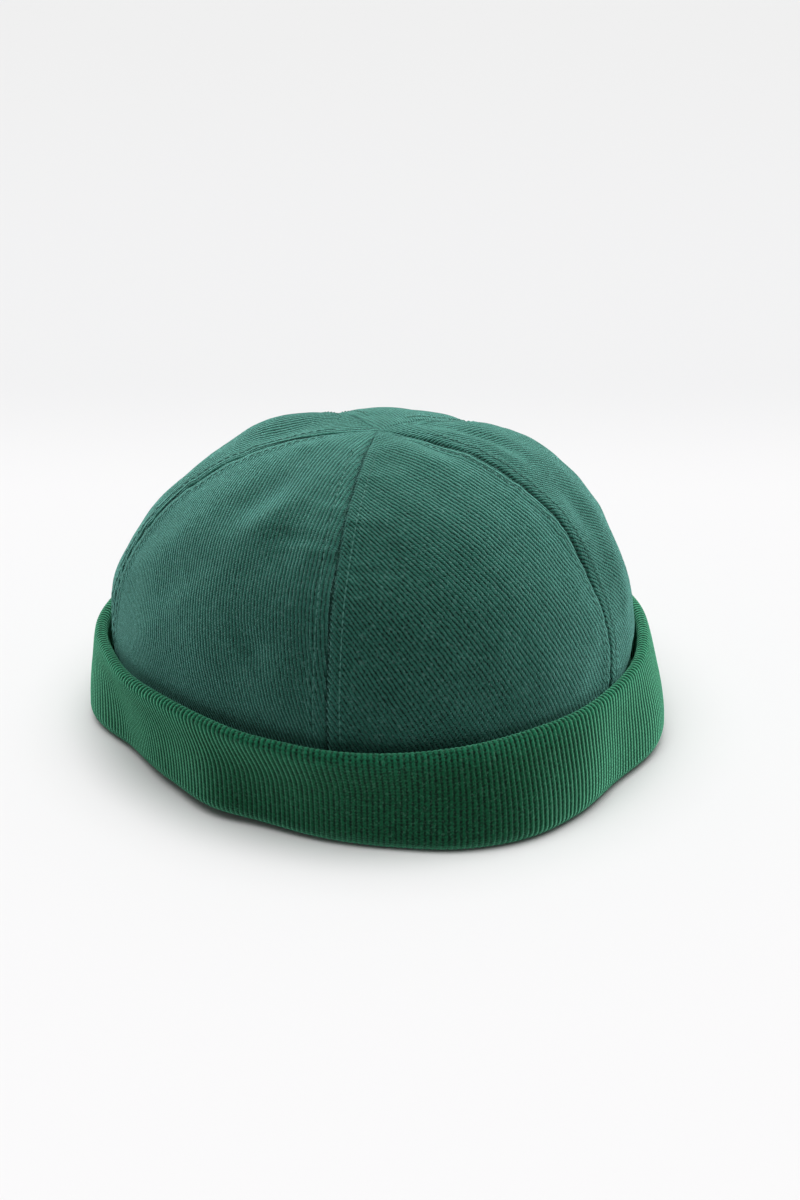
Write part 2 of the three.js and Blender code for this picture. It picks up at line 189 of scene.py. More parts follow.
# azimuth, gap at the roll, spread at the foot and lift, as shares of crownGap, flare and lift
cuffWay = [
    (12, 0.75, -0.1, 0.0), (27, 0.5, 0.6, 0.0), (40, 0.3, 0.85, 0.0), (52, 0.2, 0.6, 0.0),
    (68, 0.2, 0.2, 0.0), (86, 0.3, 0.8, 0.0), (104, 0.5, 0.7, 0.0), (130, 0.6, 0.3, 0.0),
    (160, 0.5, 0.4, 0.0), (190, 0.5, 0.4, 0.0), (220, 0.5, 0.4, 0.0), (250, 0.5, 0.3, 0.0),
    (279, 0.4, 0.45, 0.0), (297, 0.4, -0.65, 0.5), (317, 0.7, -0.5, 1.0), (332, 0.8, -0.1, 1.0),
    (344, 0.9, -0.5, 0.6), (354, 0.6, -0.5, 0.3),
]


def around(table, column, azimuth):
    # smooth value of a table's column at an azimuth, going round
    at = np.array([row[0] for row in table], float)
    values = np.tile(np.array([row[column] for row in table], float), 4)
    knots = np.concatenate([at - fullTurn, at, at + fullTurn, at + 2 * fullTurn])
    angle = (np.asarray(azimuth, float) - at[0]) % fullTurn + at[0]
    index = np.searchsorted(knots, angle, side="right") - 1
    span = knots[index + 1] - knots[index]
    share = (angle - knots[index]) / span
    change = values[index + 1] - values[index]
    slope = span * (values[index + 1] - values[index - 1]) / (knots[index + 1] - knots[index - 1])
    nextSlope = span * (values[index + 2] - values[index]) / (knots[index + 2] - knots[index])
    cubic = slope + nextSlope - 2 * change
    square = 3 * change - 2 * slope - nextSlope
    return values[index] + share * (slope + share * (square + share * cubic))


def polar(radius, azimuth, level):
    turn = np.radians(azimuth)
    return np.stack([radius * np.sin(turn), -radius * np.cos(turn), level + 0 * radius], -1)


def smooth(value, low, high):
    share = np.clip((value - low) / (high - low), 0, 1)
    return share * share * (3 - 2 * share)


def crownReach(azimuth):
    return crownShape["halfWidth"] * around(crownPlan, 1, azimuth)


def plainPoint(azimuth, rise):
    # the crown without its puffs, below the widest place too, where rise runs down to -1
    turn = (1 - np.clip(rise, 0, 1)) * math.pi / 2
    out = np.sin(turn) ** (2 / crownShape["roundness"])
    up = np.cos(turn).clip(0, 1) ** (2 / crownShape["topRoundness"])
    low = rise < 0
    reach = crownReach(azimuth)
    radius = np.where(low, reach - crownShape["tuckIn"] * rise * rise, reach * out)
    widest = crownShape["widestHeight"]
    level = np.where(
        low,
        widest + (widest - crownShape["joinHeight"]) * rise,
        widest + (crownShape["height"] - widest) * up,
    )
    point = polar(radius, azimuth, level)
    shift = np.where(low, 0, 1 - out)
    point[..., 0] += crownShape["apexShift"][0] * shift
    point[..., 1] += crownShape["apexShift"][1] * shift
    return point


def plainNormal(azimuth, rise):
    step = 0.5
    along = plainPoint(azimuth + step, rise) - plainPoint(azimuth - step, rise)
    up = plainPoint(azimuth, rise) - plainPoint(azimuth, rise - step / 90)
    normal = np.cross(along, up)
    return normal / np.linalg.norm(normal, axis=-1, keepdims=True)


def foldHeight(points):
    height = np.zeros(points.shape[:-1])
    endShare = crownShape["foldEndShare"]
    for fromAzimuth, fromRise, toAzimuth, toRise, width, depth in folds:
        share = np.linspace(0, 1, crownShape["foldPoints"])
        azimuth = fromAzimuth + (toAzimuth - fromAzimuth) * share
        way = plainPoint(azimuth, fromRise + (toRise - fromRise) * share)
        best = np.full(height.shape, np.inf)
        place = np.zeros(height.shape)
        for step in range(len(way) - 1):
            start, edge = way[step], way[step + 1] - way[step]
            t = (((points - start) * edge).sum(-1) / (edge @ edge)).clip(0, 1)
            away = np.linalg.norm(points - start - t[..., None] * edge, axis=-1)
            closer = away < best
            best = np.where(closer, away, best)
            place = np.where(closer, (step + t) / (len(way) - 1), place)
        fade = endShare + (1 - endShare) * np.sin(math.pi * place)
        across = best / (crownShape["foldWidth"] * width)
        height += crownShape["foldDepth"] * depth * fade * np.exp(-across * across)
    return height


def clothRipple(points, length, seed):
    # gentle unevenness of soft cloth: a few waves in fixed random directions
    random = np.random.default_rng(seed)
    total = np.zeros(points.shape[:-1])
    for _ in range(9):
        direction = random.normal(size=3)
        direction *= 2 * math.pi / (length * random.uniform(0.7, 1.5) * np.linalg.norm(direction))
        total += np.sin(points @ direction + random.uniform(0, 2 * math.pi))
    return total / 3


def seamAzimuth(index, rise):
    turns, row = divmod(index, len(seams))
    share = np.clip(rise, 0, 1)
    seam = seams[row]
    return seam["atCuff"] + (seam["atApex"] - seam["atCuff"]) * share + fullTurn * turns


def panelSurface(index, place, width, rise):
    # outer face of a panel at distances from its first seam, and how close each point is to a seam
    panel = panels[index]
    start = seamAzimuth(index, rise)
    end = seamAzimuth(index + 1, rise)
    azimuth = start + (end - start) * place / width
    point = plainPoint(azimuth, rise)
    normal = plainNormal(azimuth, rise)
    narrow = np.minimum(1, width / seamShape["narrowAt"])
    fromSeam = np.minimum(place, width - place)
    detail = fromSeam / narrow
    swell = np.sin(math.pi * np.clip(rise, 0, 1)) ** crownShape["swellEasing"]
    fromShoulder = (rise - crownShape["shoulderRise"]) / crownShape["shoulderWidth"]
    shoulder = panel["shoulder"] * np.exp(-(fromShoulder ** 2))
    pillow = 1 - np.abs(2 * place / width - 1) ** crownShape["pillowPower"]
    doubled = 1 - smooth(detail, seamShape["allowance"], 1.35 * seamShape["allowance"])
    groove = np.exp(-((detail / seamShape["grooveWidth"]) ** 2))
    fromStitches = detail - seamShape["stitchLine"]
    stitched = np.exp(-((fromStitches / seamShape["stitchSinkWidth"]) ** 2))
    drift = 2 * np.sin(index + seamShape["puckerDrift"] * rise)
    wave = np.sin(2 * math.pi * point[..., 2] / seamShape["puckerLength"] + drift)
    pucker = np.exp(-((fromStitches / seamShape["puckerReach"]) ** 2)) * wave
    height = crownShape["puff"] * (panel["puff"] + shoulder) * swell * pillow
    height = height + foldHeight(point)
    height = height + narrow * (
        seamShape["allowanceRise"] * doubled
        - seamShape["groove"] * groove
        - seamShape["stitchSink"] * stitched
        + seamShape["pucker"] * pucker
    )
    free = np.clip(rise * 6 + 0.5, 0, 1) * (1 - np.clip(rise, 0, 1) ** 6)
    ripple = sum(size * clothRipple(point, length, seed) for size, length, seed in crownShape["ripples"])
    return point, normal, height + free * ripple, doubled, detail


def makeMesh(name, points, quads, ways=None, corners=None):
    # ways holds a flat coordinate for each point, corners one for each corner of each face
    mesh = bpy.data.meshes.new(name)
    mesh.from_pydata(points.reshape(-1, 3).tolist(), [], quads.tolist())
    flat = {label: values[quads.ravel()] for label, values in (ways or {}).items()}
    for label, values in {**flat, **(corners or {})}.items():
        layer = mesh.uv_layers.new(name=label)
        layer.data.foreach_set("uv", values.ravel().astype("f"))
    mesh.polygons.foreach_set("use_smooth", [True] * len(mesh.polygons))
    mesh.update()
    piece = bpy.data.objects.new(name, mesh)
    bpy.context.scene.collection.objects.link(piece)
    return piece


def gridQuads(rows, columns, first=0):
    row, column = np.meshgrid(np.arange(rows - 1), np.arange(columns - 1), indexing="ij")
    a = first + row * columns + column
    return np.stack([a, a + 1, a + columns + 1, a + columns], -1).reshape(-1, 4)


def closedSheetQuads(rows, columns):
    # outer grid, inner grid turned over, and the four edges between them
    count = rows * columns
    outer = gridQuads(rows, columns)
    inner = gridQuads(rows, columns, count)[:, ::-1]
    up = np.arange(rows - 1) * columns
    across = np.arange(columns - 1)
    end = up + columns - 1
    crest = (rows - 1) * columns + across
    left = np.stack([up, up + columns, up + columns + count, up + count], -1)
    right = np.stack([end + columns, end, end + count, end + columns + count], -1)
    bottom = np.stack([across + 1, across, across + count, across + 1 + count], -1)
    upper = np.stack([crest, crest + 1, crest + 1 + count, crest + count], -1)
    return np.concatenate([outer, inner, left, right, bottom, upper])


def panelRises():
    below = -np.linspace(1, 0, crownShape["tuckRows"], endpoint=False)
    above = 1 - (1 - np.linspace(0, 1, crownShape["rows"])) ** 1.25
    return np.concatenate([below, above * 0.9998])


def makePanel(index):
    rise = panelRises()[:, None]
    start = seamAzimuth(index, rise)
    end = seamAzimuth(index + 1, rise)
    middle = (start + end) / 2
    level = plainPoint(middle, rise)
    width = np.radians(end - start) * np.hypot(level[..., 0], level[..., 1])
    narrow = np.minimum(1, width / seamShape["narrowAt"])
    edge = np.array(seamShape["edgeSteps"]) * mm * narrow
    inward = np.linspace(0, 1, crownShape["middleColumns"] + 2)[1:-1]
    between = edge[:, -1:] + (width - 2 * edge[:, -1:]) * inward
    place = np.concatenate([edge, between, (width - edge)[:, ::-1]], axis=1)
    rise = rise + 0 * place
    width = width + 0 * place
    point, normal, height, doubled, detail = panelSurface(index, place, width, rise)
    outer = point + normal * height[..., None]
    cloth = crownShape["cloth"] * (1 + 0.4 * doubled)
    inner = point + normal * (height - cloth)[..., None]
    inner[0, :, 2] = crownShape["joinHeight"]
    rows, columns = place.shape
    # cloth coordinates in millimetres: across from the panel's centre line, and up along it
    centre = plainPoint(middle[:, 0], rise[:, 0])
    up = np.concatenate([[0], np.cumsum(np.linalg.norm(np.diff(centre, axis=0), axis=1))])
    grain = math.radians(panels[index]["grain"])
    across = (place - width / 2) / mm * panels[index]["tight"]
    along = (up[:, None] + 0 * place) / mm * panels[index]["tight"]
    turnedAcross = across * math.cos(grain) + along * math.sin(grain)
    turnedAlong = along * math.cos(grain) - across * math.sin(grain)
    clothWay = np.stack([turnedAcross, turnedAlong], -1).reshape(-1, 2)
    seamWay = np.stack([detail / mm, up[:, None] / mm + 0 * place], -1).reshape(-1, 2)
    return makeMesh(
        panels[index]["name"],
        np.concatenate([outer.reshape(-1, 3), inner.reshape(-1, 3)]),
        closedSheetQuads(rows, columns),
        {"clothWay": np.concatenate([clothWay] * 2), "seamWay": np.concatenate([seamWay] * 2)},
    )


def cuffProfile(azimuth):
    # closed section of the cuff at each azimuth: radius and level, round the outside first
    half = cuffShape["rib"] / 2
    rollHalf = cuffShape["roll"] / 2
    reach = crownReach(azimuth)
    lift = cuffShape["lift"] * np.maximum(0, around(cuffWay, 3, azimuth))
    gap = cuffShape["crownGap"] * around(cuffWay, 1, azimuth)
    footX = reach + cuffShape["flare"] * around(cuffWay, 2, azimuth)
    footY = math.sqrt(cuffShape["footRadius"] ** 2 - (cuffShape["restWidth"] / 2) ** 2) + lift
    rollX = reach + gap + rollHalf
    rollY = cuffShape["height"] - rollHalf + lift
    joinX = reach - crownShape["tuckIn"] - half
    joinY = crownShape["joinHeight"] - cuffShape["seamGap"] + 0 * reach
    turn = cuffShape["footRadius"] - half

    def leg(startX, endX, endY, share):
        bellyY = footY + (endY - footY) * cuffShape["bellyShare"]
        x = (1 - share) ** 2 * startX + 2 * share * (1 - share) * startX + share ** 2 * endX
        y = (1 - share) ** 2 * footY + 2 * share * (1 - share) * bellyY + share ** 2 * endY
        dx = 2 * share * (endX - startX)
        dy = 2 * (1 - share) * (bellyY - footY) + 2 * share * (endY - bellyY)
        size = np.hypot(dx, dy)
        return x, y, dx / size, dy / size

    def side(startX, endX, endY, share, distance):
        x, y, dx, dy = leg(startX, endX, endY, share)
        return np.stack([x + dy * distance, y - dx * distance], -1)

    def arc(x, y, radius, angle):
        return np.stack([x + radius * np.cos(angle), y + radius * np.sin(angle)], -1)

    def legHalf(share):
        return half + (rollHalf - half) * smooth(share, 0.6, 1)

    points = []
    for share in np.linspace(0, 1, cuffShape["legRows"]):
        points.append(side(footX + turn, rollX, rollY, share, legHalf(share)))
    _, _, dx, dy = leg(footX + turn, rollX, rollY, 1.0)
    tip = np.arctan2(dy, dx)
    for share in np.linspace(0, 1, cuffShape["rollRows"] + 2)[1:-1]:
        points.append(arc(rollX, rollY, rollHalf, tip - math.pi / 2 + math.pi * share))
    for share in (1, 0.8, 0.6, 0.3, 0):
        points.append(side(footX + turn, rollX, rollY, share, -legHalf(share)))
    points.append(arc(footX, footY, cuffShape["footRadius"] - cuffShape["rib"], -math.pi / 2))
    for share in (0, 0.4, 0.8):
        points.append(side(footX - turn, joinX, joinY, share, half))
    points.append(np.stack([joinX + half, joinY], -1))
    points.append(np.stack([joinX - half, joinY], -1))
    for share in (0.9, 0.75, 0.6, 0.45, 0.3, 0.15, 0):
        points.append(side(footX - turn, joinX, joinY, share, -half))
    rest = math.asin(cuffShape["restWidth"] / 2 / cuffShape["footRadius"])
    lower = np.linspace(-math.pi, -math.pi / 2 - rest, 5)[1:]
    upper = np.linspace(-math.pi / 2 + rest, 0, 6)[:-1]
    for angle in np.concatenate([lower, upper]):
        points.append(arc(footX, footY, cuffShape["footRadius"], angle))
    return np.stack(points, 0)


def makeCuff():
    columns = cuffShape["ribs"] * cuffShape["ribSamples"]
    azimuth = np.arange(columns) * fullTurn / columns
    profile = cuffProfile(azimuth)
    count = profile.shape[0]
    along = np.roll(profile, -1, 0) - np.roll(profile, 1, 0)
    normal = np.stack([along[..., 1], -along[..., 0]], -1)
    normal /= np.linalg.norm(normal, axis=-1, keepdims=True)
    # every knit rib stands up round and falls into a narrow valley
    phase = 2 * math.pi * cuffShape["ribs"] * azimuth / fullTurn
    rib = np.abs(np.cos(phase / 2)) ** 0.8 - 0.75
    level = profile[..., 1]
    (broad, broadCount, broadStart), (small, smallCount, smallClimb) = cuffShape["waves"]
    wobble = broad * np.sin(np.radians(azimuth) * broadCount + broadStart)
    wobble = wobble * np.sin(math.pi * level / cuffShape["height"])
    wobble = wobble + small * np.sin(np.radians(azimuth) * smallCount + smallClimb * level)
    height = cuffShape["ribDepth"] * rib[None, :] * np.ones((count, 1))
    profile = profile + normal * height[..., None]
    outerFace = (np.arange(count) < cuffShape["legRows"] + cuffShape["rollRows"])[:, None]
    profile[..., 0] += wobble * outerFace * smooth(level, 0, 8 * mm)
    profile[..., 1] = np.maximum(profile[..., 1], 0)
    # the ribs lean a little where the roll was turned down by hand
    fromLean = (azimuth - cuffShape["leanAt"] + fullTurn / 2) % fullTurn - fullTurn / 2
    lean = cuffShape["lean"] * smooth(level, *cuffShape["leanLevels"])
    lean = lean * np.exp(-((fromLean / cuffShape["leanWidth"]) ** 2))
    points = polar(profile[..., 0], azimuth[None, :] - lean, 0.0)
    points[..., 2] = profile[..., 1]
    step = np.linalg.norm(np.diff(profile.mean(1), axis=0), axis=1)
    way = np.concatenate([[0], np.cumsum(step)]) / mm
    ribIndex = np.arange(columns) / cuffShape["ribSamples"]
    uv = np.stack([ribIndex[None, :] + 0 * level, way[:, None] + 0 * level], -1)
    row, column = np.meshgrid(np.arange(count), np.arange(columns), indexing="ij")
    nextRow = (row + 1) % count
    nextColumn = (column + 1) % columns
    low, high = row * columns, nextRow * columns
    quads = np.stack([low + column, low + nextColumn, high + nextColumn, high + column], -1)
    quads = quads.reshape(-1, 4)
    corner = uv.reshape(-1, 2)[quads.ravel()].reshape(-1, 4, 2)
    # the last column and the last row carry on instead of jumping back to the start
    wrapColumn = (column == columns - 1).ravel()
    corner[wrapColumn, 1, 0] = cuffShape["ribs"]
    corner[wrapColumn, 2, 0] = cuffShape["ribs"]
    wrapRow = (row == count - 1).ravel()
    corner[wrapRow, 2, 1] = way[-1] + 2
    corner[wrapRow, 3, 1] = way[-1] + 2
    return makeMesh("ribCuff", points, quads, corners={"knitWay": corner})


stitchShape = {
    "pitch": 2.75 * mm,
    "length": 2.25 * mm,
    "thick": 0.45 * mm,
    "lift": 0.2 * mm,          # how far the thread's middle stands above the sunk cloth
    "arch": 0.3 * mm,          # how high a stitch stands over its ends
    "sunkShare": 0.75,         # how much of the arch lies in the cloth
    "endShare": 0.35,          # thickness where a stitch dips into the cloth
    "sides": 6,
    "rings": 6,
    "first": 1.0 * mm,         # the first stitch, from the seam's foot
    "topRise": 0.9,
    "seamPoints": 600,
}


def stitchLine(index, side):
    # points and directions along one row of topstitching, beside seam number index
    panelIndex = index if side > 0 else (index - 1) % len(seams)
    rise = np.linspace(0.0, stitchShape["topRise"], stitchShape["seamPoints"])
    start = seamAzimuth(panelIndex, rise)
    end = seamAzimuth(panelIndex + 1, rise)
    level = plainPoint((start + end) / 2, rise)
    width = np.radians(end - start) * np.hypot(level[..., 0], level[..., 1])
    narrow = np.minimum(1, width / seamShape["narrowAt"])
    away = seamShape["stitchLine"] * narrow
    place = away if side > 0 else width - away
    point, normal, height, _, _ = panelSurface(panelIndex, place, width, rise)
    return point + normal * (height + stitchShape["lift"])[..., None], normal


def stitchQuads(first):
    # the sides of one stitch and its two closed ends, from its first point
    sides, rings = stitchShape["sides"], stitchShape["rings"]
    quads = []
    for ring in range(rings - 1):
        row = first + ring * sides
        for side in range(sides):
            following = (side + 1) % sides
            quads.append((row + side, row + following, row + following + sides, row + side + sides))
    last = first + (rings - 1) * sides
    quads += [(first + 3, first + 2, first + 1, first), (first + 5, first + 4, first + 3, first)]
    quads += [(last, last + 1, last + 2, last + 3), (last, last + 3, last + 4, last + 5)]
    return quads


def makeStitches(index):
    points, quads = [], []
    perStitch = stitchShape["rings"] * stitchShape["sides"]
    for side in (1, -1):
        line, normal = stitchLine(index, side)
        along = np.concatenate([[0], np.cumsum(np.linalg.norm(np.diff(line, axis=0), axis=1))])
        starts = np.arange(stitchShape["first"], along[-1] - stitchShape["pitch"], stitchShape["pitch"])
        for first in starts:
            share = np.linspace(0, 1, stitchShape["rings"])
            where = first + stitchShape["length"] * share
            centre = np.stack([np.interp(where, along, line[:, k]) for k in range(3)], -1)
            out = np.stack([np.interp(where, along, normal[:, k]) for k in range(3)], -1)
            forward = np.gradient(centre, axis=0)
            forward /= np.linalg.norm(forward, axis=1, keepdims=True)
            across = np.cross(forward, out)
            arch = np.sin(math.pi * share)
            centre = centre + out * ((arch - stitchShape["sunkShare"]) * stitchShape["arch"])[:, None]
            fullness = stitchShape["endShare"] + (1 - stitchShape["endShare"]) * arch ** 0.5
            radius = stitchShape["thick"] / 2 * fullness
            turn = np.arange(stitchShape["sides"]) * 2 * math.pi / stitchShape["sides"]
            ring = (
                centre[:, None]
                + across[:, None] * (np.cos(turn)[None, :, None] * radius[:, None, None])
                + out[:, None] * (np.sin(turn)[None, :, None] * radius[:, None, None])
            )
            quads += stitchQuads(len(points) * perStitch)
            points.append(ring.reshape(-1, 3))
    return makeMesh("seamStitches" + seams[index]["name"], np.concatenate(points), np.array(quads))


# Node helpers

def feed(tree, socket, value):
    # a number or a colour is set on the socket, and anything else is linked to it
    if isinstance(value, (int, float)):
        socket.default_value = value
    elif isinstance(value, tuple):
        socket.default_value = (*value, 1)
    else:
        tree.links.new(value, socket)


def newGroup(name, inputs, outputs):
    group = bpy.data.node_groups.new(name, "ShaderNodeTree")
    for label, kind, value in inputs:
        socket = group.interface.new_socket(label, in_out="INPUT", socket_type=kind)
        if value is not None:
            socket.default_value = value
    for label in outputs:
        group.interface.new_socket(label, in_out="OUTPUT", socket_type="NodeSocketFloat")
    return group, group.nodes.new("NodeGroupInput").outputs, group.nodes.new("NodeGroupOutput").inputs


def useGroup(tree, group, values):
    node = tree.nodes.new("ShaderNodeGroup")
    node.node_tree = group
    for label, value in values.items():
        feed(tree, node.inputs[label], value)
    return node.outputs


def addMath(tree, operation, *values):
    node = tree.nodes.new("ShaderNodeMath")
    node.operation = operation
    for socket, value in zip(node.inputs, values):
        feed(tree, socket, value)
    return node.outputs[0]


def keepShare(tree, value):
    # a value kept between 0 and 1
    return addMath(tree, "MINIMUM", addMath(tree, "MAXIMUM", value, 0.0), 1.0)


def addNoise(tree, vector, scale, detail=2.0, rough=0.5):
    node = tree.nodes.new("ShaderNodeTexNoise")
    feed(tree, node.inputs["Scale"], scale)
    node.inputs["Detail"].default_value = detail
    node.inputs["Roughness"].default_value = rough
    tree.links.new(vector, node.inputs["Vector"])
    return node.outputs["Fac"]


def addMix(tree, kind, factor, first, second):
    node = tree.nodes.new("ShaderNodeMix")
    node.data_type = kind
    feed(tree, node.inputs["Factor"], factor)
    feed(tree, node.inputs["A"], first)
    feed(tree, node.inputs["B"], second)
    return node.outputs["Result"]


def mixShare(tree, value, share, first, second):
    # second colour laid over the first where the value is high, at most by the share
    return addMix(tree, "RGBA", addMath(tree, "MULTIPLY", value, share), first, second)


def splitUp(tree, vector):
    node = tree.nodes.new("ShaderNodeSeparateXYZ")
    tree.links.new(vector, node.inputs[0])
    return node.outputs


def placeNode(tree):
    return tree.nodes.new("ShaderNodeTexCoord").outputs["Object"]


def uvNode(tree, name):
    node = tree.nodes.new("ShaderNodeUVMap")
    node.uv_map = name
    return node.outputs["UV"]


twillShape = {
    "slow": (0.35, 3.0, 0.6),  # size, detail and roughness of the lines' slow and quick wandering
    "quick": (1.6, 2.0, 0.6),
    "yarn": 0.72,              # one crossing yarn, as a share of the pitch
    "yarnDrift": 0.9,
    "yarnStep": 0.5,           # how far the yarns move on from line to line
    "yarnCut": 0.6,            # how much the yarns break up a line
    "yarnHeight": 0.22,
}


def twillWeaveGroup():
    # diagonal twill lines broken up by the yarns crossing them, from cloth coordinates in millimetres
    group, given, wanted = newGroup(
        "twillWeave",
        [("Cloth", "NodeSocketVector", None), ("Pitch", "NodeSocketFloat", 1.4),
         ("Lean", "NodeSocketFloat", 0.55), ("Unevenness", "NodeSocketFloat", 0.45)],
        ["Ridges", "Height"],
    )
    cloth, pitch = given["Cloth"], given["Pitch"]
    across, up, _ = splitUp(group, cloth)
    cosine = addMath(group, "COSINE", given["Lean"])
    sine = addMath(group, "SINE", given["Lean"])
    acrossLines = addMath(group, "MULTIPLY_ADD", up, sine, addMath(group, "MULTIPLY", across, cosine))
    upShare = addMath(group, "MULTIPLY", up, cosine)
    alongLines = addMath(group, "SUBTRACT", upShare, addMath(group, "MULTIPLY", across, sine))
    slow = addMath(group, "SUBTRACT", addNoise(group, cloth, *twillShape["slow"]), 0.5)
    quick = addMath(group, "SUBTRACT", addNoise(group, cloth, *twillShape["quick"]), 0.5)
    wander = addMath(group, "MULTIPLY", addMath(group, "ADD", slow, quick), given["Unevenness"])
    turns = addMath(group, "ADD", addMath(group, "DIVIDE", acrossLines, pitch), wander)
    line = addMath(group, "SINE", addMath(group, "MULTIPLY", turns, 2 * math.pi))
    valley = addMath(group, "POWER", addMath(group, "MULTIPLY_ADD", line, -0.5, 0.5), 2.0)
    yarnPitch = addMath(group, "MULTIPLY", pitch, twillShape["yarn"])
    yarnTurns = addMath(group, "DIVIDE", alongLines, yarnPitch)
    yarnTurns = addMath(group, "MULTIPLY_ADD", turns, twillShape["yarnStep"], yarnTurns)
    yarnTurns = addMath(group, "MULTIPLY_ADD", quick, twillShape["yarnDrift"], yarnTurns)
    yarn = addMath(group, "SINE", addMath(group, "MULTIPLY", yarnTurns, 2 * math.pi))
    yarn = addMath(group, "MULTIPLY_ADD", yarn, 0.5, 0.5)
    cut = twillShape["yarnCut"]
    dash = addMath(group, "MULTIPLY", valley, addMath(group, "MULTIPLY_ADD", yarn, cut, 1 - cut))
    ridges = addMath(group, "SUBTRACT", 1.0, dash)
    feed(group, wanted["Ridges"], ridges)
    feed(group, wanted["Height"], addMath(group, "MULTIPLY_ADD", yarn, twillShape["yarnHeight"], ridges))
    return group


napShape = {
    "patchSize": 60.0,         # how fine the broad patches, the lint and the fuzz are
    "lintSize": 1000.0,
    "fuzzSize": 900.0,
    "lintFrom": 0.56,          # noise above this shows as lint
    "lintGain": 6.0,
}


def napGroup():
    # brushed nap: broad patches where it lies differently, and small lint
    group, given, wanted = newGroup(
        "brushedNap",
        [("Place", "NodeSocketVector", None), ("Patch Size", "NodeSocketFloat", napShape["patchSize"]),
         ("Lint Size", "NodeSocketFloat", napShape["lintSize"])],
        ["Patches", "Lint", "Fuzz"],
    )
    place = given["Place"]
    lint = addMath(group, "SUBTRACT", addNoise(group, place, given["Lint Size"]), napShape["lintFrom"])
    feed(group, wanted["Patches"], addNoise(group, place, given["Patch Size"], 4.0, 0.62))
    feed(group, wanted["Lint"], keepShare(group, addMath(group, "MULTIPLY", lint, napShape["lintGain"])))
    feed(group, wanted["Fuzz"], addNoise(group, place, napShape["fuzzSize"], 3.0, 0.7))
    return group


knitShape = {
    "wander": (0.9, 3.0, 0.65),  # size, detail and roughness of the ribs' wandering
    "bend": 0.42,
    "sharpness": 5.0,          # how quickly a rib falls into the ground beside it
    "fullness": 1.75,
    "point": 1.2,              # how far a course bends up over a rib
    "courseDrift": 0.9,
    "loopHeight": 0.45,
}


def knitGroup():
    # rib knit: a thin raised rib, the ground between two ribs, which ribKnit darkens as painted shade,
    # and the courses across both
    group, given, wanted = newGroup(
        "ribKnitLoops",
        [("Knit", "NodeSocketVector", None), ("Course", "NodeSocketFloat", 1.25)],
        ["Rib", "Loops", "Height"],
    )
    ribCount, way, _ = splitUp(group, given["Knit"])
    wander = addMath(group, "SUBTRACT", addNoise(group, given["Knit"], *knitShape["wander"]), 0.5)
    bent = addMath(group, "MULTIPLY_ADD", wander, knitShape["bend"], ribCount)
    fraction = addMath(group, "FRACT", addMath(group, "ADD", bent, 0.5))
    fromMiddle = addMath(group, "ABSOLUTE", addMath(group, "SUBTRACT", fraction, 0.5))
    rib = addMath(group, "MULTIPLY_ADD", fromMiddle, -knitShape["sharpness"], knitShape["fullness"])
    rib = keepShare(group, rib)
    turns = addMath(group, "DIVIDE", way, given["Course"])
    turns = addMath(group, "MULTIPLY_ADD", fromMiddle, knitShape["point"], turns)
    turns = addMath(group, "MULTIPLY_ADD", wander, knitShape["courseDrift"], turns)
    loops = addMath(group, "SINE", addMath(group, "MULTIPLY", turns, 2 * math.pi))
    loops = addMath(group, "MULTIPLY_ADD", loops, 0.5, 0.5)
    feed(group, wanted["Rib"], rib)
    feed(group, wanted["Loops"], loops)
    feed(group, wanted["Height"], addMath(group, "MULTIPLY_ADD", loops, knitShape["loopHeight"], rib))
    return group


def newMaterial(name):
    material = bpy.data.materials.new(name)
    material.use_nodes = True
    tree = material.node_tree
    tree.nodes.clear()
    output = tree.nodes.new("ShaderNodeOutputMaterial")
    shader = tree.nodes.new("ShaderNodeBsdfPrincipled")
    tree.links.new(shader.outputs[0], output.inputs["Surface"])
    return material, tree, shader


def finishCloth(tree, shader, look, colour, height):
    tree.links.new(colour, shader.inputs["Base Color"])
    bump = tree.nodes.new("ShaderNodeBump")
    bump.inputs["Strength"].default_value = look["bump"]
    bump.inputs["Distance"].default_value = look["bumpDistance"]
    tree.links.new(height, bump.inputs["Height"])
    tree.links.new(bump.outputs["Normal"], shader.inputs["Normal"])
    shader.inputs["Roughness"].default_value = look["roughness"]
    shader.inputs["Specular IOR Level"].default_value = look["specular"]
    shader.inputs["Sheen Weight"].default_value = look["sheen"]
    shader.inputs["Sheen Roughness"].default_value = look["sheenRoughness"]
    shader.inputs["Sheen Tint"].default_value = (*look["sheenTint"], 1)


# Colours are linear, and a pair of gain and start stretches a noise before it is kept from 0 to 1

twillLook = {
    "cloth": (0.0162, 0.097, 0.069),
    # near-black colour of the twill's valleys: painted shade, which draws the diagonal lines and also
    # the seams' painted shade
    "valley": (0.0008, 0.006, 0.0045),
    "nap": (0.037, 0.153, 0.117),
    "lint": (0.11, 0.24, 0.205),
    "pitch": 1.4,
    "lean": 0.55,
    "unevenness": 0.62,
    "patches": (2.4, -0.8),
    "patchShare": 0.3,
    "fuzz": (4.0, -1.5),
    "fuzzShare": 0.45,
    "lines": (1.75, 0.12),     # depth of the dark lines, and the shade between them
    "hiding": -0.3,            # how much the brushed nap hides them
    # painted shade in the seam's fold: how fast it fades with each millimetre from the seam, and its
    # share
    "seamShadeFade": -1.3,          # the seam's dark line, fading with each millimetre
    "seamShadeShare": 0.85,
    "wearAt": 1.6,             # the paler doubled edge, in millimetres from the seam
    "wearFade": 0.8,
    "wearShare": 0.15,
    "lintShare": 0.42,
    "fuzzHeight": 0.5,
    "bump": 1.0,
    "bumpDistance": 0.55 * mm,
    "sheen": 1.0,
    "sheenRoughness": 0.31,
    "sheenTint": (0.28, 0.75, 0.65),
    "roughness": 0.95,
    "specular": 0.12,
}


